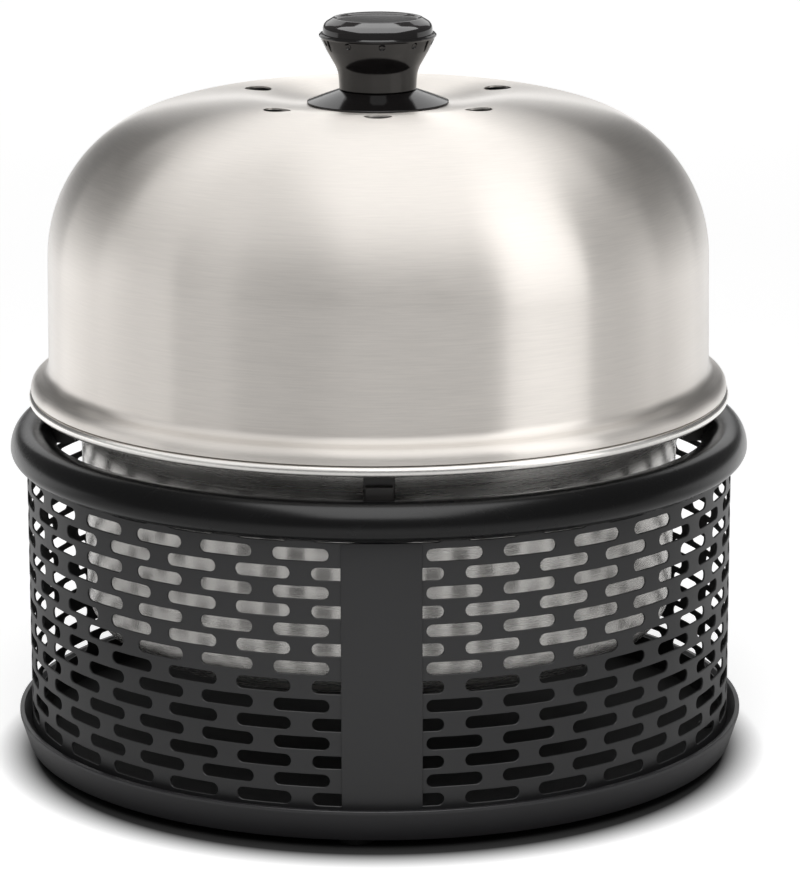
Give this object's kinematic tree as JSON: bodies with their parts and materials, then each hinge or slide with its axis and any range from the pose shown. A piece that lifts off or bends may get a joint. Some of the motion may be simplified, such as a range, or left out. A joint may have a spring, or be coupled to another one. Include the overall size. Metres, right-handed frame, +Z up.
{
  "type": "portable charcoal grill",
  "caption": "Portable round charcoal grill: slotted steel base on rubber feet, polished inner bowl with firebox and wire basket, domed cooking plate and brushed dome lid with a black knob.",
  "frame": {"origin": "on the floor under the middle of the grill", "axes": "+Z up through the knob, -Y to the front strap, +X to the right seen from the front"},
  "size_m": [0.33, 0.33, 0.3294],
  "materials": {
    "tray_plastic": "satin dark grey",
    "rubber": "matte black",
    "pin_plastic": "matte black",
    "coated_steel": "satin dark grey coating",
    "strap_steel": "satin dark grey coating",
    "ring_plastic": "satin black",
    "lug_plastic": "satin black",
    "fastener_steel": "plain",
    "polished_steel": "polished",
    "firebox_steel": "plain drawn",
    "wire_steel": "plain wire",
    "nonstick": "matte non-stick",
    "brushed_lid": "brushed round the axis",
    "knob_skirt_black": "gloss black",
    "knob_black": "gloss black",
    "knob_cap_black": "gloss black",
    "brass": "plain"
  },
  "bodies": {
    "base": {"base_tray": "tray_plastic", "rubber_feet": "rubber", "foot_pins": "pin_plastic", "perforated_shell": "coated_steel", "seam_strap": "strap_steel", "top_ring": "ring_plastic", "bowl_lugs": "lug_plastic", "lug_screws": "fastener_steel"},
    "bowl": {"inner_bowl": "polished_steel", "firebox_wall": "firebox_steel"},
    "basket": {"basket_cage": "wire_steel"},
    "bail": {"basket_bail": "wire_steel"},
    "plate": {"grill_plate": "nonstick"},
    "lid": {"lid_shell": "brushed_lid", "knob_skirt": "knob_skirt_black", "knob_body": "knob_black", "knob_cap": "knob_cap_black", "knob_insert": "brass", "knob_screw": "fastener_steel", "lid_washer": "fastener_steel"}
  },
  "joints": [
    {"name": "bowl_lift", "type": "slide", "parent": "base", "child": "bowl", "axis": [0, 0, 1], "range_m": [0, 0.12]},
    {"name": "basket_lift", "type": "slide", "parent": "bowl", "child": "basket", "axis": [0, 0, 1], "range_m": [0, 0.13]},
    {"name": "bail_swing", "type": "hinge", "parent": "basket", "child": "bail", "pos_m": [0, 0, 0.08985], "axis": [1, 0, 0], "range_deg": [0, 180]},
    {"name": "plate_lift", "type": "slide", "parent": "basket", "child": "plate", "axis": [0, 0, 1], "range_m": [0, 0.1]},
    {"name": "lid_lift", "type": "slide", "parent": "plate", "child": "lid", "axis": [0, 0, 1], "range_m": [0, 0.2]}
  ]
}
